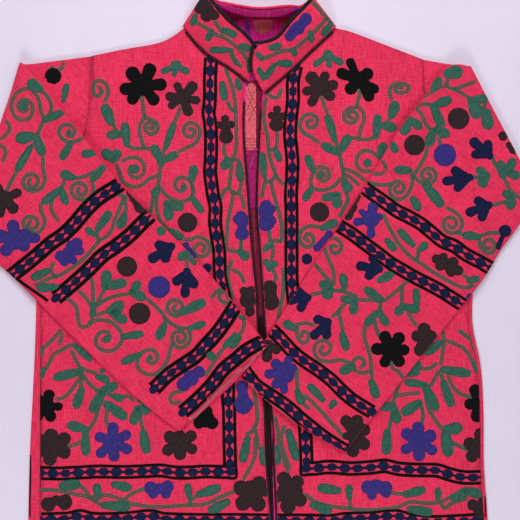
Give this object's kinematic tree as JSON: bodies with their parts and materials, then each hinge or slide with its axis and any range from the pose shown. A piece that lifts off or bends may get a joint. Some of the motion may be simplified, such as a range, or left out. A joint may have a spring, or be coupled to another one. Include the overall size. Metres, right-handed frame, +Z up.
{
  "type": "suzani jacket",
  "caption": "Short open-front jacket with a stand collar and long wide sleeves, embroidered all over, shown laid flat with both sleeves folded across the front.",
  "frame": {"origin": "on the table, under the centre front, half way up the body: the middle of the mount rests_on, on the underside of the back", "axes": "+X to the right of someone looking at the front, +Y towards the collar, +Z up from the table, through the back and then the front"},
  "size_m": [0.7033, 0.6741, 0.0442],
  "materials": {
    "cloth": "coarse hand-woven coral-pink cotton with raised chain-stitch embroidery",
    "lining": "thin stitched cotton patchwork in magenta, purple and salmon",
    "edging": "black cotton thread worked along the edges"
  },
  "bodies": {
    "root": {"back_panel": "cloth", "front_left": "cloth", "front_right": "cloth", "side_strip_left": "cloth", "side_strip_right": "cloth", "sleeve_left": "cloth", "sleeve_right": "cloth", "collar": "cloth", "back_lining": "lining", "collar_lining": "lining", "neck_piping_left": "edging", "neck_piping_right": "edging", "edging_front_left": "edging", "edging_front_right": "edging", "collar_edging_left": "edging", "collar_edging_right": "edging"}
  },
  "joints": []
}
